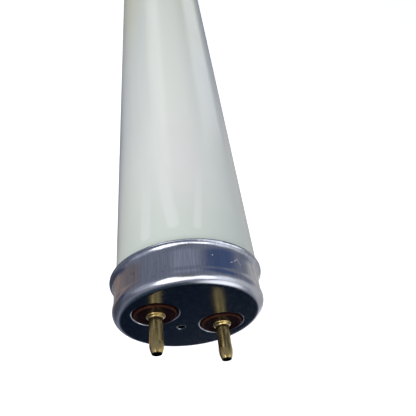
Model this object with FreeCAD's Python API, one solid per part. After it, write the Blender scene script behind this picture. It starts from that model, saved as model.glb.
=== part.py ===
import FreeCAD, Part
import math
import os

# Straight fluorescent tube with a two-pin cap at each end, in millimetres.
# The origin is the middle of the near cap's flat face, on the axis of both caps.
# +Y runs along the lamp to the far cap, X runs through the near cap's two pins, and +Z is up.

# Lamp
lamp_length = 589.8             # between the flat faces of the two caps
pin_spacing = 12.7              # between the axes of a cap's two pins

# Glass envelope, coated on its inside and sealed, so it is one closed body
glass_diameter = 26.0
glass_offset = 0.35             # the glass stands this far off the caps' axis, towards +X
glass_shoulder_radius = 3.5     # rounding at each end of the glass
exhaust_tip_diameter = 5.0      # sealed stub in the middle of the near end
exhaust_tip_length = 2.8
exhaust_tip_rounding = 2.0

# Drawn aluminium cap
cap_wall = 0.3
cap_length = 7.0                # from the flat face to the lip
cap_corner_radius = 1.75        # round edge between the face and the skirt
cap_bulge = 0.2                 # how far the round edge stands out past the waist
cap_neck_radius = 2.0           # hollow curve from the round edge into the waist
cap_waist_inset = 0.65          # the skirt's inside is this far within the reach of the glass
cap_flare_radius = 3.0          # hollow curve from the waist into the flare
cap_flare_angle = 18.0          # how far that curve turns outwards, in degrees
cap_lip_radius = 1.1            # tighter curve from there to the lip
cap_lip_angle = 65.0            # how far the lip is turned outwards, in degrees
cap_glass_gap = 0.1             # least gap between the lip's curve and the shoulder of the glass

# Openings of the cap, whose edges are turned in
dish_width = 0.55
dish_depth = 0.32
vent_diameter = 1.2
vent_drop = 3.45                # below the line through the pins
vent_dish_width = 0.45
vent_dish_depth = 0.22

# Phenolic insulators
insulator_diameter = 7.6
insulator_clearance = 0.05      # radial, in the cap's opening
insulator_proud = 0.02          # the middle stands this far out of the cap's face
insulator_ridge_width = 0.38
insulator_ridge_height = 0.16
insulator_ridge_slope = 0.14
insulator_edge_width = 0.16     # low rim outside the ridge
insulator_edge_drop = 0.1
insulator_flange_width = 0.8    # how far the back flange reaches past the cap's opening
insulator_flange_thickness = 1.0

# Hollow brass contact pins
pin_diameter = 2.32
pin_length = 6.6                # from the cap's face to the tip
pin_clearance = 0.03            # radial, in the insulator
pin_bore_diameter = 1.36
pin_shoulder_diameter = 2.42
pin_shoulder_blend = 0.7        # length over which the shank swells to the shoulder
pin_taper_length = 1.9
pin_taper_bow = 0.12            # how far the taper bows out from a straight cone
pin_tip_diameter = 1.7
pin_tip_rounding = 0.08
collar_diameter = 3.3
collar_thickness = 0.38
collar_rounding = 0.16
collar_fillet = 0.34            # hollow curve from the collar into the shank
rivet_diameter = 3.4
rivet_thickness = 0.3

# Lead wires from the glass to the pins
lead_diameter = 0.8
lead_recess = 0.45              # a lead ends this far inside the pin's tip
lead_spacing = 8.8              # between a cap's two leads where they leave the glass
lead_bend_radius = 0.85
lead_stub = 0.35                # straight run at each end of the bend

# Basing cement between the glass and the cap
cement_from_waist = 0.4         # where it starts, past the start of the waist
cement_to_flare = 1.2           # where it ends, past the start of the flare
cement_width = 2.15             # from the skirt's inside, towards the axis

# Sizes that follow from those above
pin_x = pin_spacing / 2
glass_radius = glass_diameter / 2
waist_radius = glass_radius + glass_offset + cap_wall - cap_waist_inset
face_radius = waist_radius + cap_bulge - cap_corner_radius
neck_angle = math.acos(1 - cap_bulge / (cap_corner_radius + cap_neck_radius))
waist_start = cap_corner_radius + (cap_corner_radius + cap_neck_radius) * math.sin(neck_angle)
flare_angle = math.radians(cap_flare_angle)
lip_angle = math.radians(cap_lip_angle)
curve_step = cap_flare_radius - cap_lip_radius
lip_centre_radius = waist_radius + cap_flare_radius - curve_step * math.cos(flare_angle)
lip_centre_y = cap_length - cap_lip_radius * math.sin(lip_angle)
flare_start = lip_centre_y - curve_step * math.sin(flare_angle)
shoulder_centre_reach = glass_radius + glass_offset - glass_shoulder_radius
shoulder_apart = cap_lip_radius + cap_wall + cap_glass_gap + glass_shoulder_radius
shoulder_rise = math.sqrt(shoulder_apart ** 2 - (lip_centre_radius - shoulder_centre_reach) ** 2)
glass_setback = lip_centre_y + shoulder_rise - glass_shoulder_radius
opening_radius = insulator_diameter / 2 + insulator_clearance
insulator_seat = cap_wall + dish_depth
insulator_back = insulator_seat + insulator_flange_thickness
pin_radius = pin_diameter / 2
pin_tail = insulator_back + rivet_thickness


def polar(centre, radius, angle):
    """The point of a circle, as (radial, axial), at an angle from the outward direction."""
    return centre[0] + radius * math.cos(angle), centre[1] + radius * math.sin(angle)


def middle_of_arc(centre, radius, angle_a, angle_b):
    return polar(centre, radius, (angle_a + angle_b) / 2)


def bowed(a, b, bow):
    """The point half-way from a to b, moved sideways by bow, to the left of the way from a to b."""
    run = math.hypot(b[0] - a[0], b[1] - a[1])
    across = (-(b[1] - a[1]) / run, (b[0] - a[0]) / run)
    return (a[0] + b[0]) / 2 + across[0] * bow, (a[1] + b[1]) / 2 + across[1] * bow


def outline(start, steps):
    """Edges from start through steps: a point makes a straight edge, and a pair (through, end) an arc."""
    def at(point):
        return FreeCAD.Vector(point[0], point[1], 0)

    edges = []
    here = start
    for step in steps:
        if isinstance(step[0], tuple):
            through, end = step
            edges.append(Part.Arc(at(here), at(through), at(end)).toShape())
        else:
            end = step
            edges.append(Part.LineSegment(at(here), at(end)).toShape())
        here = end
    return Part.Wire(edges)


def turned(start, steps, x=0.0, z=0.0):
    """The solid that a closed outline of (radial, axial) points makes round an axis along Y at x, z."""
    face = Part.Face(outline(start, steps + [start]))
    solid = face.revolve(FreeCAD.Vector(0, 0, 0), FreeCAD.Vector(0, 1, 0), 360)
    solid.translate(FreeCAD.Vector(x, 0, z))
    return solid


def bar(diameter, y_from, y_to, x=0.0, z=0.0):
    return Part.makeCylinder(
        diameter / 2, y_to - y_from, FreeCAD.Vector(x, y_from, z), FreeCAD.Vector(0, 1, 0)
    )


def cap_profile(inset):
    """The cap's section from its middle to its lip, inset from the outer surface."""
    corner = (face_radius, cap_corner_radius)
    corner_radius = cap_corner_radius - inset
    neck_reach = cap_corner_radius + cap_neck_radius
    neck = polar(corner, neck_reach, neck_angle)
    neck_radius = cap_neck_radius + inset
    flare = (waist_radius + cap_flare_radius, flare_start)
    flare_radius = cap_flare_radius + inset
    lip = (lip_centre_radius, lip_centre_y)
    lip_radius = cap_lip_radius + inset
    half_turn = math.pi
    return (0, inset), [
        (face_radius, inset),
        (
            middle_of_arc(corner, corner_radius, -half_turn / 2, neck_angle),
            polar(corner, corner_radius, neck_angle),
        ),
        (
            middle_of_arc(neck, neck_radius, half_turn + neck_angle, half_turn),
            (waist_radius - inset, waist_start),
        ),
        (waist_radius - inset, flare_start),
        (
            middle_of_arc(flare, flare_radius, half_turn, half_turn - flare_angle),
            polar(flare, flare_radius, half_turn - flare_angle),
        ),
        (
            middle_of_arc(lip, lip_radius, half_turn - flare_angle, half_turn - lip_angle),
            polar(lip, lip_radius, half_turn - lip_angle),
        ),
    ]


def end_of(step):
    return step[1] if isinstance(step[0], tuple) else step


def reversed_steps(start, steps):
    """The same edges, walked from the last point back to start."""
    points = [start] + [end_of(step) for step in steps]
    back = []
    for index in range(len(steps) - 1, -1, -1):
        if isinstance(steps[index][0], tuple):
            back.append((steps[index][0], points[index]))
        else:
            back.append(points[index])
    return back


def make_shell_sheet():
    """The drawn sheet of the cap, with a round edge at its lip and no openings yet."""
    outer_start, outer = cap_profile(0)
    inner_start, inner = cap_profile(cap_wall)
    outer_lip = end_of(outer[-1])
    inner_lip = end_of(inner[-1])
    lip_edge = bowed(outer_lip, inner_lip, -cap_wall / 2)
    return turned(outer_start, outer + [(lip_edge, inner_lip)] + reversed_steps(inner_start, inner))


def dish_opening(shell, x, z, hole_radius, width, depth):
    """The shell with a round opening, whose edge leaves the face smoothly and is turned in."""
    rim_radius = hole_radius + width
    bow = math.hypot(width, depth) / 2 * math.tan(math.atan2(depth, width) / 2)
    turned_edge = turned(
        (rim_radius, 0),
        [
            (bowed((rim_radius, 0), (hole_radius, depth), bow), (hole_radius, depth)),
            (hole_radius, cap_wall + depth),
            (
                bowed((hole_radius, cap_wall + depth), (rim_radius, cap_wall), -bow),
                (rim_radius, cap_wall),
            ),
        ],
        x,
        z,
    )
    return shell.cut(bar(2 * rim_radius, -cap_wall, 2 * cap_wall, x, z)).fuse(turned_edge)


def make_cap():
    shell = make_shell_sheet()
    for x in (-pin_x, pin_x):
        shell = dish_opening(shell, x, 0, opening_radius, dish_width, dish_depth)
    shell = dish_opening(shell, 0, -vent_drop, vent_diameter / 2, vent_dish_width, vent_dish_depth)
    return shell.removeSplitter()


def make_insulator(x):
    """A disc in the cap's opening, with a low ridge round its front and a flange behind the sheet."""
    radius = insulator_diameter / 2
    flange_radius = opening_radius + insulator_flange_width
    bore_radius = pin_radius + pin_clearance
    ridge_foot = radius - insulator_edge_width
    ridge_outside = ridge_foot - insulator_ridge_slope
    ridge_inside = ridge_outside - insulator_ridge_width
    front = -insulator_proud
    crest = front - insulator_ridge_height
    edge = front + insulator_edge_drop
    return turned(
        (bore_radius, insulator_back),
        [
            (bore_radius, front),
            (ridge_inside - insulator_ridge_slope, front),
            (ridge_inside, crest),
            (ridge_outside, crest),
            (ridge_foot, edge),
            (radius, edge),
            (radius, insulator_seat),
            (flange_radius, insulator_seat),
            (flange_radius, insulator_back),
        ],
        x,
    )


def make_pin(x):
    """A hollow pin: riveted tail, shank in the insulator, collar, shank, shoulder and rounded taper."""
    bore_radius = pin_bore_diameter / 2
    collar_radius = collar_diameter / 2
    shoulder_radius = pin_shoulder_diameter / 2
    tip_radius = pin_tip_diameter / 2
    front = -insulator_proud
    collar_front = front - collar_thickness
    shoulder = -(pin_length - pin_taper_length)
    collar_edge = collar_radius - collar_rounding
    fillet_top = (pin_radius + collar_fillet, collar_front)
    fillet_end = (pin_radius, collar_front - collar_fillet)
    swell_start = (pin_radius, shoulder + pin_shoulder_blend)
    taper_end = (tip_radius, -pin_length + pin_tip_rounding)
    tip_edge = (tip_radius - pin_tip_rounding, -pin_length)
    return turned(
        (bore_radius, pin_tail),
        [
            (bore_radius, -pin_length),
            tip_edge,
            (bowed(tip_edge, taper_end, -pin_tip_rounding / 4), taper_end),
            (bowed(taper_end, (shoulder_radius, shoulder), -pin_taper_bow), (shoulder_radius, shoulder)),
            swell_start,
            fillet_end,
            (bowed(fillet_end, fillet_top, collar_fillet / 5), fillet_top),
            (collar_edge, collar_front),
            (
                bowed((collar_edge, collar_front), (collar_radius, collar_front + collar_rounding),
                      -collar_rounding / 5),
                (collar_radius, collar_front + collar_rounding),
            ),
            (collar_radius, front),
            (pin_radius, front),
            (pin_radius, insulator_back),
            (rivet_diameter / 2, insulator_back),
            (rivet_diameter / 2, pin_tail),
        ],
        x,
    )


def make_lead(side):
    """A wire from the glass to the inside of a pin's tip, with a double bend behind the cap's face."""
    low = pin_tail + lead_stub
    high = glass_setback - lead_stub
    inner_x = lead_spacing / 2
    shift = pin_x - inner_x
    rise = high - low
    apart = math.hypot(shift - 2 * lead_bend_radius, rise)
    lean = math.atan2(shift - 2 * lead_bend_radius, rise) + math.asin(2 * lead_bend_radius / apart)
    low_centre = (pin_x - lead_bend_radius, low)
    high_centre = (inner_x + lead_bend_radius, high)
    path = outline(
        (pin_x, -pin_length + lead_recess),
        [
            (pin_x, low),
            (polar(low_centre, lead_bend_radius, lean / 2), polar(low_centre, lead_bend_radius, lean)),
            polar(high_centre, lead_bend_radius, math.pi + lean),
            (polar(high_centre, lead_bend_radius, math.pi + lean / 2), (inner_x, high)),
            (inner_x, glass_setback),
        ],
    )
    start = FreeCAD.Vector(pin_x, -pin_length + lead_recess, 0)
    circle = Part.Wire(Part.makeCircle(lead_diameter / 2, start, FreeCAD.Vector(0, 1, 0)))
    wire = path.makePipeShell([circle], True, False)
    if side < 0:
        wire.rotate(FreeCAD.Vector(0, 0, 0), FreeCAD.Vector(0, 1, 0), 180)
    return wire


def make_glass():
    """The sealed envelope: a straight body with rounded ends, and an exhaust stub at the near end."""
    radius = glass_radius
    rounding = glass_shoulder_radius
    flat = radius - rounding
    near = glass_setback
    far = lamp_length - glass_setback
    middle = math.sqrt(0.5) * rounding
    body = turned(
        (0, near),
        [
            (flat, near),
            ((flat + middle, near + rounding - middle), (radius, near + rounding)),
            (radius, far - rounding),
            ((flat + middle, far - rounding + middle), (flat, far)),
            (0, far),
        ],
        glass_offset,
    )
    stub = bar(exhaust_tip_diameter, near - exhaust_tip_length, near + rounding, glass_offset)
    stub_front = [edge for edge in stub.Edges if abs(edge.CenterOfMass.y - near + exhaust_tip_length) < 1e-6]
    return body.fuse(stub.makeFillet(exhaust_tip_rounding, stub_front)).removeSplitter()


def make_cement(glass, placed):
    """The ring that fills the cap between its skirt and the glass; placed moves a solid to its end."""
    start, steps = cap_profile(cap_wall)
    inner_lip = end_of(steps[-1])
    inside = turned(start, steps + [(0, inner_lip[1])])
    band = bar(2 * inner_lip[0], waist_start + cement_from_waist, flare_start + cement_to_flare)
    bore = bar(2 * (waist_radius - cap_wall - cement_width), 0, inner_lip[1])
    return placed(inside.common(band).cut(bore)).cut(glass)


def at_near_end(solid):
    return solid


def at_far_end(solid):
    """Half a turn about a vertical axis through the middle of the lamp."""
    turned_solid = solid.copy()
    turned_solid.rotate(FreeCAD.Vector(0, lamp_length / 2, 0), FreeCAD.Vector(0, 0, 1), 180)
    return turned_solid


def build():
    glass = make_glass()
    parts = {"glass_tube": glass}
    for end, placed in (("near", at_near_end), ("far", at_far_end)):
        parts[f"{end}_cap"] = placed(make_cap())
        parts[f"{end}_cement"] = make_cement(glass, placed)
        for side, sign in (("left", -1), ("right", 1)):
            toward = sign if end == "near" else -sign
            parts[f"{end}_{side}_insulator"] = placed(make_insulator(toward * pin_x))
            parts[f"{end}_{side}_pin"] = placed(make_pin(toward * pin_x))
            parts[f"{end}_{side}_lead"] = placed(make_lead(toward))
    return parts


os.makedirs("parts", exist_ok=True)
for node, shape in build().items():
    shape.exportStep(f"parts/{node}.step")
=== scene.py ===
import math

import bmesh
import bpy
from mathutils import Matrix, Vector


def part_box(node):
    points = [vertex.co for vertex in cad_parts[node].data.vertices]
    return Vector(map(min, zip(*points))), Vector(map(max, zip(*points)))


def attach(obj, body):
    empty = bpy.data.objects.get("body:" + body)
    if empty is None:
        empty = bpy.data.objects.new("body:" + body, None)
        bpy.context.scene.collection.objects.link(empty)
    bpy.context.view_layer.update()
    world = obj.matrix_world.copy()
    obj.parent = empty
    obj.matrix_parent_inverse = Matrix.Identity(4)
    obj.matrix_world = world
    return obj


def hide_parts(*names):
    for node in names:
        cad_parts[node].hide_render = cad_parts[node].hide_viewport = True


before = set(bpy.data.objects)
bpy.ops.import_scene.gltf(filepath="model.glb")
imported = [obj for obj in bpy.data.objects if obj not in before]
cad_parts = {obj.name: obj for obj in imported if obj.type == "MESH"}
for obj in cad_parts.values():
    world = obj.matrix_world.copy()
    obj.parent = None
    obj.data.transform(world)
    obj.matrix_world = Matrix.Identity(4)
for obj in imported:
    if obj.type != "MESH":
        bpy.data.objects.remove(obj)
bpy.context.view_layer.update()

# Looks of a straight fluorescent tube: coated glass, aluminium caps, phenolic insulators, brass pins.
# Lengths are in metres, in the part's own frame: +Y runs along the lamp from the near cap, and +Z
# is up.
mm = 0.001

# Camera: the photograph's viewing angle, from above and to the left of the near cap, with the lens
# and the sensor in mm
camera_place = Vector((-31.70, -31.23, 59.68)) * mm
camera_aim = Vector((7.11, 27.17, 0)) * mm
camera_roll = math.radians(37.14)
camera_lens = 36.0
camera_sensor = 36.0
camera_near_clip = 5 * mm

# Floor, far enough below the lamp for its shadow to fade
floor_drop = 180 * mm
floor_size = 14.0
floor_colour = (0.90, 0.90, 0.90, 1)
floor_glow = 0.70

# Soft lights: name, place, the point each faces, width, height, radiance, colour
soft_lights = (
    ("key", (-0.38, -0.12, 0.47), (0, 0, 0), 0.52, 0.46, 2.85, (1.0, 0.99, 0.955)),
    ("left", (-0.80, 0.25, 0.70), (0, 0.25, 0), 1.20, 0.90, 0.08, (1.0, 0.995, 0.95)),
    ("right", (0.90, 0.20, 0.25), (0, 0.25, 0), 1.00, 0.80, 0.55, (0.98, 1.0, 0.98)),
    ("low left", (-0.70, 0.10, -0.10), (0, 0.15, 0), 0.80, 0.30, 0.03, (0.98, 1.0, 0.99)),
)

# Long lights that only the glass reflects, with the same entries
streak_lights = (
    ("ceiling", (-1.02, 2.20, 0.68), (0, 2.20, 0), 2.60, 0.70, 0.58, (1.0, 0.99, 0.92)),
    ("wall", (0.82, 2.20, 0.50), (0, 2.20, 0), 2.10, 0.86, 0.72, (0.95, 0.99, 1.0)),
)

# Surroundings as the metal sees them: name, direction, full within and none beyond in degrees, colour
sky_colour = (0.165, 0.178, 0.235, 1)
backdrop_colour = (0.96, 0.96, 0.96, 1)
surroundings = (
    ("far left", (0.22, 0.46, -0.86), 10, 34, (0.29, 0.28, 0.29, 1)),
    ("warm left", (-0.34, 0.49, -0.80), 5, 24, (0.26, 0.205, 0.185, 1)),
    ("dim left", (-0.72, 0.51, -0.47), 8, 24, (0.155, 0.135, 0.145, 1)),
    ("navy left", (-0.70, 0.14, -0.70), 6, 17, (0.034, 0.050, 0.115, 1)),
    ("lip's left", (-0.02, 0.69, -0.72), 8, 15, (0.036, 0.052, 0.110, 1)),
    ("corner's left", (-0.45, -0.08, -0.89), 14, 28, (0.055, 0.062, 0.085, 1)),
    ("middle", (-0.39, 0.54, 0.74), 5, 24, (0.235, 0.25, 0.32, 1)),
    ("blue right", (0.42, 0.53, 0.73), 14, 28, (0.060, 0.088, 0.18, 1)),
    ("far right", (0.80, 0.45, -0.42), 18, 36, (0.44, 0.43, 0.43, 1)),
    ("near right", (0.93, -0.08, -0.16), 16, 32, (0.42, 0.43, 0.455, 1)),
    ("low right", (0.83, -0.08, -0.55), 10, 26, (0.34, 0.345, 0.36, 1)),
    ("floor's dark", (0.12, -0.88, -0.46), 22, 40, (0.020, 0.034, 0.052, 1)),
    ("face's dark", (0.43, -0.45, -0.78), 15, 28, (0.0125, 0.0265, 0.053, 1)),
    ("band's left end", (-0.74, -0.42, -0.52), 8, 20, (0.10, 0.11, 0.145, 1)),
    ("band's left", (-0.90, -0.42, -0.05), 8, 24, (0.34, 0.36, 0.44, 1)),
    ("band's right", (0.80, -0.38, 0.45), 10, 26, (0.46, 0.475, 0.51, 1)),
    ("band's middle right", (0.45, -0.52, 0.72), 6, 24, (0.80, 0.84, 0.95, 1)),
    ("under the rings", (0.58, 0.14, -0.80), 12, 24, (1.15, 1.17, 1.24, 1)),
    ("ahead of the rings", (0.46, -0.84, 0.10), 10, 24, (1.20, 1.23, 1.32, 1)),
    ("window left", (-0.60, -0.66, 0.44), 13, 25, (2.3, 2.3, 2.4, 1)),
    ("window middle", (-0.33, -0.75, 0.57), 6, 19, (1.6, 1.6, 1.7, 1)),
    ("window right", (0.06, -0.68, 0.73), 7, 17, (2.0, 2.0, 2.1, 1)),
    ("behind the camera", (-0.42, -0.40, 0.81), 9, 18, (0.13, 0.12, 0.13, 1)),
)

# Glass envelope
glass_segments = 192
glass_rings = 24
glass_shoulder = 3.5 * mm
glass_shoulder_steps = 12
stub_length = 2.8 * mm
stub_radius = 2.5 * mm
stub_rounding = 2.0 * mm
stub_rounding_steps = 6
same_point = 0.001 * mm

# Places on the lamp
lamp_length = 589.8 * mm
pin_x = 6.35 * mm
glass_reach = 13.0 * mm
cap_corner_radius = 1.75 * mm
skirt_reach = 12.95 * mm
vent_z = -3.45 * mm
vent_radius = 0.6 * mm

# Pale strip and faint marks in the coating, painted reflections of a room's edges near each cap:
# from, to and width in mm, where each point is its girth from the top and its distance from the face
reflection_strip = ((-5.6, 12.0), (-4.8, 120.0), 5.2)
reflection_marks = (
    ((-10.0, 30.0), (-7.7, 11.5), 1.5),
    ((-1.4, 28.0), (-3.6, 10.5), 0.9),
    ((-12.3, 24.0), (-12.9, 10.5), 1.4),
)

# Marks on the near cap's skirt, with the same entries
cap_scratches = (
    ((2.2, 4.3), (2.9, 4.9), 0.10),
    ((3.0, 4.9), (3.7, 4.0), 0.06),
    ((1.4, 3.9), (1.8, 4.1), 0.09),
    ((-1.8, 4.7), (-1.7, 4.8), 0.10),
    ((5.6, 3.0), (6.9, 2.6), 0.07),
    ((6.2, 2.2), (6.6, 2.0), 0.10),
)
cap_stains = (
    ((7.2, 4.9), (7.8, 4.4), 0.16),
    ((8.4, 2.8), (9.3, 2.5), 0.18),
    ((8.9, 3.2), (9.1, 3.0), 0.14),
    ((-15.9, 4.2), (-15.1, 4.3), 0.06),
    ((-15.1, 4.3), (-15.0, 3.6), 0.06),
    ((-16.6, 4.2), (-16.5, 3.6), 0.05),
)
stroke_core = 0.4               # share of a mark's width that has its full strength


class Nodes:
    """Short calls that add shader nodes to one tree and join them."""

    def __init__(self, tree):
        self.tree = tree
        tree.nodes.clear()

    def feed(self, socket, value):
        if isinstance(value, bpy.types.NodeSocket):
            self.tree.links.new(value, socket)
        else:
            socket.default_value = value

    def add(self, kind, inputs=None, **settings):
        node = self.tree.nodes.new(kind)
        for name, value in settings.items():
            setattr(node, name, value)
        for name, value in (inputs or {}).items():
            self.feed(node.inputs[name], value)
        return node

    def math(self, operation, *values, clamp=False):
        node = self.add("ShaderNodeMath", operation=operation, use_clamp=clamp)
        for index, value in enumerate(values):
            self.feed(node.inputs[index], value)
        return node.outputs[0]

    def plus(self, a, b, clamp=False):
        return self.math("ADD", a, b, clamp=clamp)

    def minus(self, a, b):
        return self.math("SUBTRACT", a, b)

    def times(self, a, b):
        return self.math("MULTIPLY", a, b)

    def length(self, a, b):
        """The length of the vector (a, b)."""
        return self.math("SQRT", self.plus(self.times(a, a), self.times(b, b)))

    def vector(self, x, y, z=0.0):
        return self.add("ShaderNodeCombineXYZ", {"X": x, "Y": y, "Z": z}).outputs[0]

    def step(self, value, low, high, to_low=0.0, to_high=1.0):
        """A smooth step from to_low to to_high as value goes from low to high."""
        node = self.add("ShaderNodeMapRange", interpolation_type="SMOOTHSTEP")
        for index, setting in enumerate((value, low, high, to_low, to_high)):
            self.feed(node.inputs[index], setting)
        return node.outputs[0]

    def mix(self, factor, a, b):
        node = self.add("ShaderNodeMix", data_type="RGBA")
        for index, value in ((0, factor), (6, a), (7, b)):
            self.feed(node.inputs[index], value)
        return node.outputs[2]

    def mix_numbers(self, factor, a, b):
        node = self.add("ShaderNodeMix", data_type="FLOAT")
        for index, value in ((0, factor), (2, a), (3, b)):
            self.feed(node.inputs[index], value)
        return node.outputs[0]

    def mix_shaders(self, factor, a, b):
        node = self.add("ShaderNodeMixShader")
        for index, value in enumerate((factor, a, b)):
            self.feed(node.inputs[index], value)
        return node.outputs[0]

    def noise(self, vector, scale, detail=3.0):
        """A noise from 0 to 1, with scale features to a unit of the vector."""
        settings = {"Vector": vector, "Scale": scale, "Detail": detail, "Roughness": 0.55}
        return self.add("ShaderNodeTexNoise", settings).outputs[0]

    def bump(self, height, strength, distance, normal=None):
        settings = {"Height": height, "Strength": strength, "Distance": distance}
        node = self.add("ShaderNodeBump", settings)
        if normal is not None:
            self.feed(node.inputs["Normal"], normal)
        return node.outputs[0]

    def stroke(self, across, along, start, end, width):
        """A mask of one short stroke from start to end of the plane (across, along)."""
        run = (end[0] - start[0], end[1] - start[1])
        length_squared = run[0] ** 2 + run[1] ** 2
        from_start = (self.minus(across, start[0]), self.minus(along, start[1]))
        share = self.plus(
            self.times(from_start[0], run[0] / length_squared),
            self.times(from_start[1], run[1] / length_squared),
            clamp=True,
        )
        aside = self.minus(from_start[0], self.times(share, run[0]))
        ahead = self.minus(from_start[1], self.times(share, run[1]))
        return self.step(self.length(aside, ahead), width, stroke_core * width)

    def strokes(self, across, along, entries):
        mask = 0.0
        for start, end, width in entries:
            mask = self.math("MAXIMUM", mask, self.stroke(across, along, start, end, width))
        return mask


class Place:
    """Where a point is: x, y, z, along (from the nearer cap's face) and turn (from the top)."""

    def __init__(self, nodes):
        self.nodes = nodes
        self.point = nodes.add("ShaderNodeTexCoord").outputs["Object"]
        self.x, self.y, self.z = nodes.add("ShaderNodeSeparateXYZ", {"Vector": self.point}).outputs
        from_middle = nodes.math("ABSOLUTE", nodes.minus(self.y, lamp_length / 2))
        self.along = nodes.minus(lamp_length / 2, from_middle)
        self.turn = nodes.math("ARCTAN2", self.x, self.z)

    def reach(self, x, z):
        """The distance to the nearer of the two lines along the lamp at x, z and at -x, z."""
        aside = self.nodes.minus(self.nodes.math("ABSOLUTE", self.x), x)
        return self.nodes.length(aside, self.nodes.minus(self.z, z))

    def noise(self, scale, detail=3.0):
        return self.nodes.noise(self.point, scale, detail)


def new_material(name):
    """A material, the helper that adds nodes to it, its place sockets and its surface shader."""
    material = bpy.data.materials.new(name)
    material.use_nodes = True
    nodes = Nodes(material.node_tree)
    shader = nodes.add("ShaderNodeBsdfPrincipled")
    nodes.add("ShaderNodeOutputMaterial", {"Surface": shader.outputs[0]})
    return material, nodes, Place(nodes), shader


def make_glass_material():
    """Milky coating behind clear glass, with faint strips, a greener band beside each cap, and a pale
    strip and faint marks near each cap that are painted reflections.
    """
    material, nodes, place, shader = new_material("coated_glass_looks")
    middle = (0.785, 0.815, 0.75, 1)
    far = (0.785, 0.805, 0.60, 1)
    streak = (0.73, 0.765, 0.72, 1)
    band = (0.67, 0.73, 0.655, 1)
    # Colours of the pale strip, a painted reflection
    reflection_strip_near = (0.81, 0.80, 0.76, 1)
    reflection_strip_far = (0.83, 0.86, 0.78, 1)
    reflection_strip_strength = 0.9
    # Colour of the faint marks, painted reflections
    mark = (0.92, 0.94, 0.91, 1)
    reflection_mark_strength = 0.30
    speck = (0.35, 0.36, 0.33, 1)
    speck_strength = 0.35
    streaks_round, streaks_along = 1.6, 9.0
    band_wave = 14 * mm
    far_starts, far_full = 55 * mm, 105 * mm
    reflection_strip_turns, reflection_strip_turned = 26 * mm, 48 * mm
    band_ends, band_full = 40 * mm, 12 * mm
    reflection_marks_end, reflection_marks_full = 30 * mm, 9 * mm

    girth = nodes.times(place.turn, glass_reach / mm)
    run = nodes.times(place.along, 1 / mm)
    around = nodes.vector(
        nodes.times(place.turn, streaks_round),
        nodes.times(place.y, streaks_along),
    )
    streaks = nodes.step(nodes.noise(around, scale=1.0), low=0.40, high=0.66)
    from_cap = nodes.plus(place.along, nodes.times(place.noise(scale=70.0, detail=2.0), band_wave))
    specks = nodes.step(place.noise(scale=2600.0, detail=1.0), low=0.76, high=0.80)
    colour = nodes.mix(nodes.step(place.along, far_starts, far_full), middle, far)
    colour = nodes.mix(streaks, colour, streak)
    # The pale strip is a painted reflection of a room's edge
    strip = nodes.mix(nodes.step(place.along, reflection_strip_turns, reflection_strip_turned), reflection_strip_near, reflection_strip_far)
    on_reflection_strip = nodes.times(nodes.stroke(girth, run, *reflection_strip), reflection_strip_strength)
    colour = nodes.mix(on_reflection_strip, colour, strip)
    colour = nodes.mix(nodes.step(from_cap, band_ends, band_full), colour, band)
    # The faint marks are painted reflections of a room's edges, fading away from the cap
    reflection_marks_fade = nodes.step(place.along, reflection_marks_end, reflection_marks_full, to_high=reflection_mark_strength)
    on_reflection_mark = nodes.times(nodes.strokes(girth, run, reflection_marks), reflection_marks_fade)
    colour = nodes.mix(on_reflection_mark, colour, mark)
    colour = nodes.mix(nodes.times(specks, speck_strength), colour, speck)
    smears = place.noise(scale=120.0, detail=4.0)
    nodes.feed(shader.inputs["Base Color"], colour)
    nodes.feed(shader.inputs["Roughness"], nodes.step(smears, 0.3, 0.7, to_low=0.32, to_high=0.46))
    shader.inputs["Specular IOR Level"].default_value = 0.4
    shader.inputs["Coat Weight"].default_value = 1.0
    shader.inputs["Coat Roughness"].default_value = 0.16
    shader.inputs["Coat IOR"].default_value = 1.5
    return material


def make_drawing_lines(nodes, girth, run):
    """Lines along the skirt, from 0 to 1: fine ones laid over broad ones."""
    fine_round, fine_along = 6.0, 0.16
    broad_round, broad_along = 0.7, 0.10
    fine_share = 0.6
    fine = nodes.vector(nodes.times(girth, fine_round), nodes.times(run, fine_along))
    broad = nodes.vector(nodes.times(girth, broad_round), nodes.times(run, broad_along))
    return nodes.plus(
        nodes.times(nodes.noise(fine, scale=1.0, detail=2.0), fine_share),
        nodes.times(nodes.noise(broad, scale=1.0, detail=2.0), 1 - fine_share),
    )


def make_cap_colour(nodes, place, skirt, lines, grain, scratched, stained):
    light = (0.80, 0.81, 0.84, 1)
    dark = (0.60, 0.63, 0.69, 1)
    # Painted shade: the face's colours are far darker than the skirt's, to darken what the
    # mirror-like face reflects
    shaded_face_light = (0.205, 0.217, 0.242, 1)
    shaded_face_dark = (0.165, 0.178, 0.203, 1)
    scratch = (0.34, 0.34, 0.33, 1)
    stain = (0.16, 0.16, 0.19, 1)
    # Painted shade: the vent hole is painted near black
    vent_shade = (0.03, 0.03, 0.04, 1)
    face_ends, skirt_starts = 0.01 * mm, 0.14 * mm
    vent_shade_ends, vent_shade_full = vent_radius + 0.16 * mm, vent_radius + 0.06 * mm
    fleck_strength = 0.6
    stain_strength = 0.75
    scratch_strength = 0.8

    drawn = nodes.mix(nodes.times(nodes.step(lines, low=0.36, high=0.64), skirt), light, dark)
    face = nodes.mix(nodes.step(grain, low=0.40, high=0.66), shaded_face_dark, shaded_face_light)
    off_face = nodes.step(place.along, face_ends, skirt_starts)
    flecks = nodes.step(place.noise(scale=2300.0, detail=1.0), low=0.70, high=0.76)
    flecks = nodes.times(nodes.times(flecks, fleck_strength), skirt)
    stained = nodes.math("MAXIMUM", stained, flecks)
    # Painted shade inside the vent hole
    in_vent_shade = nodes.step(place.reach(0.0, vent_z), vent_shade_ends, vent_shade_full)
    colour = nodes.mix(off_face, face, drawn)
    colour = nodes.mix(nodes.times(stained, stain_strength), colour, stain)
    colour = nodes.mix(nodes.times(scratched, scratch_strength), colour, scratch)
    return nodes.mix(in_vent_shade, colour, vent_shade)


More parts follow.
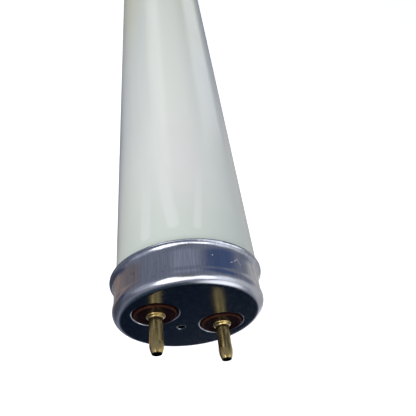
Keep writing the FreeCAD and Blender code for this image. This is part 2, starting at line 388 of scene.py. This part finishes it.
def make_cap_relief(nodes, place, girth, skirt, lines):
    """The skirt's drawing lines, with shallow dents that are deeper at its scuffed right side."""
    scuffed = nodes.step(girth, low=4.0, high=9.0, to_low=1.0, to_high=2.4)
    dents = nodes.times(place.noise(scale=620.0), nodes.times(scuffed, skirt))
    drawn = nodes.bump(nodes.times(lines, skirt), strength=0.25, distance=0.02 * mm)
    return nodes.bump(dents, strength=0.35, distance=0.10 * mm, normal=drawn)


def make_cap_material():
    """Drawn aluminium: a mirror-like face darkened by painted shade, a vent hole painted dark as
    shade, and a skirt with drawing lines, scuffs and scratches.
    """
    material, nodes, place, shader = new_material("cap_aluminium_looks")
    girth = nodes.times(place.turn, skirt_reach / mm)
    run = nodes.times(place.along, 1 / mm)
    skirt = nodes.step(place.along, low=0.25 * mm, high=cap_corner_radius)
    lines = make_drawing_lines(nodes, girth, run)
    grain = place.noise(scale=900.0, detail=4.0)
    on_near_cap = nodes.step(place.y, low=0.40 * lamp_length, high=0.35 * lamp_length)
    scratched = nodes.times(nodes.strokes(girth, run, cap_scratches), on_near_cap)
    stained = nodes.times(nodes.strokes(girth, run, cap_stains), on_near_cap)
    face_roughness = nodes.step(grain, 0.35, 0.75, to_low=0.20, to_high=0.25)
    skirt_roughness = nodes.step(lines, 0.35, 0.65, to_low=0.13, to_high=0.24)
    colour = make_cap_colour(nodes, place, skirt, lines, grain, scratched, stained)
    nodes.feed(shader.inputs["Base Color"], colour)
    nodes.feed(shader.inputs["Metallic"], nodes.minus(1.0, scratched))
    roughness = nodes.mix_numbers(skirt, face_roughness, skirt_roughness)
    nodes.feed(shader.inputs["Roughness"], roughness)
    nodes.feed(shader.inputs["Normal"], make_cap_relief(nodes, place, girth, skirt, lines))
    return material


def make_phenolic_material():
    """Near-black brown resin, with a patchy painted highlight along the ridge near its edge."""
    material, nodes, place, shader = new_material("phenolic_looks")
    body = (0.007, 0.0025, 0.003, 1)
    cloud = (0.014, 0.005, 0.005, 1)
    # Painted highlight: the ridge's lighter brown stands in for light catching its crest, patchy by
    # noise
    ridge = (0.055, 0.016, 0.006, 1)
    ridge_inside = (3.28 * mm, 3.40 * mm)
    ridge_outside = (3.64 * mm, 3.54 * mm)
    reach = place.reach(pin_x, 0.0)
    past_inside = nodes.step(reach, *ridge_inside)
    within_outside = nodes.step(reach, *ridge_outside)
    highlight_patches = nodes.step(place.noise(scale=420.0), 0.30, 0.60, to_low=0.45, to_high=1.0)
    ridge_highlight = nodes.times(nodes.times(past_inside, within_outside), highlight_patches)
    colour = nodes.mix(nodes.step(place.noise(scale=700.0), low=0.4, high=0.7), body, cloud)
    smears = place.noise(scale=1500.0, detail=2.0)
    nodes.feed(shader.inputs["Base Color"], nodes.mix(ridge_highlight, colour, ridge))
    nodes.feed(shader.inputs["Roughness"], nodes.step(smears, 0.3, 0.7, to_low=0.16, to_high=0.28))
    shader.inputs["Specular IOR Level"].default_value = 0.05
    return material


def make_brass_material():
    """Brass with streaks along the pins, less tarnish near their tips, and black ends and bores."""
    material, nodes, place, shader = new_material("pin_brass_looks")
    bright = (0.97, 0.74, 0.30, 1)
    tarnish = (0.44, 0.31, 0.11, 1)
    black = (0.012, 0.009, 0.008, 1)
    streaks_across, streaks_along = 4200.0, 260.0
    streak_share = 0.5
    lighter_from, lighter_to = -4.0 * mm, -5.4 * mm
    end_from, end_to = -6.42 * mm, -6.52 * mm
    bore_from, bore_to = 0.74 * mm, 0.69 * mm

    drawn_out = nodes.vector(
        nodes.times(place.x, streaks_across),
        nodes.times(place.y, streaks_along),
        nodes.times(place.z, streaks_across),
    )
    streaks = nodes.noise(drawn_out, scale=1.0)
    blotches = place.noise(scale=900.0, detail=4.0)
    mask = nodes.plus(nodes.times(streaks, streak_share), nodes.times(blotches, 1 - streak_share))
    # Lighter brass towards the tips, with less tarnish mixed in
    kept = nodes.step(place.along, lighter_from, lighter_to, to_low=1.0, to_high=0.25)
    colour = nodes.mix(nodes.times(nodes.step(mask, low=0.38, high=0.62), kept), bright, tarnish)
    end = nodes.step(place.along, end_from, end_to)
    bore = nodes.step(place.reach(pin_x, 0.0), bore_from, bore_to)
    colour = nodes.mix(nodes.math("MAXIMUM", end, bore), colour, black)
    nodes.feed(shader.inputs["Base Color"], colour)
    nodes.feed(shader.inputs["Roughness"], nodes.step(mask, 0.35, 0.65, to_low=0.14, to_high=0.32))
    nodes.feed(shader.inputs["Normal"], nodes.bump(streaks, strength=0.2, distance=0.02 * mm))
    shader.inputs["Metallic"].default_value = 1.0
    return material


def make_lead_material():
    """Dull, blackened wire."""
    material, nodes, place, shader = new_material("lead_wire_looks")
    dark = (0.010, 0.009, 0.009, 1)
    light = (0.035, 0.030, 0.026, 1)
    clouds = nodes.step(place.noise(scale=1800.0), low=0.4, high=0.7)
    smears = place.noise(scale=2400.0, detail=2.0)
    nodes.feed(shader.inputs["Base Color"], nodes.mix(clouds, dark, light))
    nodes.feed(shader.inputs["Roughness"], nodes.step(smears, 0.3, 0.7, to_low=0.5, to_high=0.75))
    shader.inputs["Metallic"].default_value = 0.6
    return material


def make_cement_material():
    """Pale brown basing cement with fine grit."""
    material, nodes, place, shader = new_material("basing_cement_looks")
    dark = (0.20, 0.15, 0.10, 1)
    light = (0.36, 0.29, 0.21, 1)
    grit = place.noise(scale=1600.0, detail=5.0)
    colour = nodes.mix(nodes.step(grit, low=0.35, high=0.7), dark, light)
    nodes.feed(shader.inputs["Base Color"], colour)
    nodes.feed(shader.inputs["Roughness"], nodes.step(grit, 0.3, 0.7, to_low=0.75, to_high=0.95))
    nodes.feed(shader.inputs["Normal"], nodes.bump(grit, strength=0.5, distance=0.1 * mm))
    return material


def quarter_turn(steps):
    """The sine and cosine at even steps from 0 to a right angle."""
    angles = [math.radians(90 * step / steps) for step in range(steps + 1)]
    return [(math.sin(angle), math.cos(angle)) for angle in angles]


def glass_profile(near, far, radius):
    """The envelope's outline as (radius, y), from its stub's tip to the middle of its far end."""
    flat = radius - glass_shoulder
    stub_tip = near - stub_length
    straight = far - near - 2 * glass_shoulder
    points = [(0.0, stub_tip)]
    for sine, cosine in quarter_turn(stub_rounding_steps):
        reach = stub_radius - stub_rounding * (1 - sine)
        points.append((reach, stub_tip + stub_rounding * (1 - cosine)))
    points.append((stub_radius, near))
    for sine, cosine in quarter_turn(glass_shoulder_steps):
        points.append((flat + glass_shoulder * sine, near + glass_shoulder * (1 - cosine)))
    for ring in range(1, glass_rings):
        points.append((radius, near + glass_shoulder + straight * ring / glass_rings))
    for sine, cosine in quarter_turn(glass_shoulder_steps):
        points.append((flat + glass_shoulder * cosine, far - glass_shoulder * (1 - sine)))
    points.append((0.0, far))
    return points


def make_glass():
    """The glass envelope as a finely turned mesh, in the place of its CAD node."""
    low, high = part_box("glass_tube")
    axis_x = (low.x + high.x) / 2
    radius = (high.x - low.x) / 2
    mesh = bpy.data.meshes.new("glass_envelope")
    shape = bmesh.new()
    profile = glass_profile(low.y + stub_length, high.y, radius)
    outline = [shape.verts.new((reach, y, 0.0)) for reach, y in profile]
    edges = [shape.edges.new(pair) for pair in zip(outline, outline[1:])]
    bmesh.ops.spin(shape, geom=outline + edges, cent=(0, 0, 0), axis=(0, 1, 0), angle=math.tau,
                   steps=glass_segments, use_merge=True)
    bmesh.ops.remove_doubles(shape, verts=shape.verts, dist=same_point)
    bmesh.ops.recalc_face_normals(shape, faces=shape.faces)
    for face in shape.faces:
        face.smooth = True
    shape.to_mesh(mesh)
    shape.free()
    mesh.transform(Matrix.Translation((axis_x, 0, 0)))
    glass = bpy.data.objects.new("glass_envelope", mesh)
    glass.data.materials.append(make_glass_material())
    bpy.context.scene.collection.objects.link(glass)
    return glass


def dress_nodes():
    """Gives each CAD node that stays in view the finish of its material slot."""
    finishes = {
        "cap_aluminium": make_cap_material(),
        "phenolic": make_phenolic_material(),
        "pin_brass": make_brass_material(),
        "lead_wire": make_lead_material(),
        "basing_cement": make_cement_material(),
    }
    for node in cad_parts.values():
        for slot in node.material_slots:
            if slot.material.name in finishes:
                slot.material = finishes[slot.material.name]


def make_floor():
    """A plain pale floor, evenly lit, that can be seen through from below."""
    bpy.ops.mesh.primitive_plane_add(size=floor_size, location=(0, lamp_length / 2, -floor_drop))
    floor = bpy.context.object
    floor.name = "floor"
    material = bpy.data.materials.new("floor")
    material.use_nodes = True
    nodes = Nodes(material.node_tree)
    matte = nodes.add("ShaderNodeBsdfDiffuse", {"Color": floor_colour}).outputs[0]
    glowing = {"Color": floor_colour, "Strength": floor_glow}
    glow = nodes.add("ShaderNodeEmission", glowing).outputs[0]
    clear = nodes.add("ShaderNodeBsdfTransparent").outputs[0]
    lit = nodes.add("ShaderNodeAddShader")
    nodes.feed(lit.inputs[0], matte)
    nodes.feed(lit.inputs[1], glow)
    camera_ray = nodes.add("ShaderNodeLightPath").outputs["Is Camera Ray"]
    underside = nodes.add("ShaderNodeNewGeometry").outputs["Backfacing"]
    above = nodes.mix_shaders(camera_ray, matte, lit.outputs[0])
    nodes.add("ShaderNodeOutputMaterial", {"Surface": nodes.mix_shaders(underside, above, clear)})
    floor.data.materials.append(material)
    floor.visible_glossy = False


def make_surroundings():
    """The room that the metal reflects: a dim sky with soft patches, and white for the camera."""
    world = bpy.data.worlds.new("studio")
    bpy.context.scene.world = world
    world.use_nodes = True
    nodes = Nodes(world.node_tree)
    toward = nodes.add("ShaderNodeTexCoord").outputs["Generated"]
    colour = sky_colour
    for name, direction, full, none, patch in surroundings:
        aim = nodes.add("ShaderNodeVectorMath", operation="DOT_PRODUCT")
        nodes.feed(aim.inputs[0], toward)
        nodes.feed(aim.inputs[1], Vector(direction).normalized())
        limits = (math.cos(math.radians(none)), math.cos(math.radians(full)))
        colour = nodes.mix(nodes.step(aim.outputs["Value"], *limits), colour, patch)
    camera_ray = nodes.add("ShaderNodeLightPath").outputs["Is Camera Ray"]
    colour = nodes.mix(camera_ray, colour, backdrop_colour)
    background = nodes.add("ShaderNodeBackground", {"Color": colour})
    nodes.add("ShaderNodeOutputWorld", {"Surface": background.outputs[0]})


def add_light(name, place, toward, width, height, radiance, colour):
    """A rectangular lamp that the camera can't see."""
    data = bpy.data.lights.new(name, "AREA")
    data.shape = "RECTANGLE"
    data.size = width
    data.size_y = height
    data.energy = radiance * math.pi * width * height
    data.color = colour
    light = bpy.data.objects.new(name, data)
    light.location = place
    light.rotation_mode = "QUATERNION"
    light.rotation_quaternion = (Vector(place) - Vector(toward)).to_track_quat("Z", "Y")
    light.visible_camera = False
    bpy.context.scene.collection.objects.link(light)
    return light


def make_lights(glass):
    """Soft lamps that are in no reflection, and long ones that are only seen in the glass."""
    for entry in soft_lights:
        add_light(*entry).visible_glossy = False
    glass_only = bpy.data.collections.new("glass_only")
    glass_only.objects.link(glass)
    for entry in streak_lights:
        light = add_light(*entry)
        light.light_linking.receiver_collection = glass_only
        light.visible_diffuse = False


def place_camera():
    """The camera at its place, looking at its aim and turned anticlockwise by its roll."""
    data = bpy.data.cameras.new("camera")
    data.lens = camera_lens
    data.sensor_width = camera_sensor
    data.clip_start = camera_near_clip
    forward = (camera_aim - camera_place).normalized()
    level = forward.cross(Vector((0, 0, 1))).normalized()
    rise = level.cross(forward)
    right = level * math.cos(camera_roll) + rise * math.sin(camera_roll)
    up = rise * math.cos(camera_roll) - level * math.sin(camera_roll)
    turned = Matrix((right, up, -forward)).transposed().to_4x4()
    camera = bpy.data.objects.new("camera", data)
    camera.matrix_world = Matrix.Translation(camera_place) @ turned
    bpy.context.scene.collection.objects.link(camera)
    bpy.context.scene.camera = camera


glass = make_glass()
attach(glass, "root")
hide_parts("glass_tube")
dress_nodes()
make_floor()
make_surroundings()
make_lights(glass)
place_camera()
bpy.context.scene.view_settings.view_transform = "Standard"
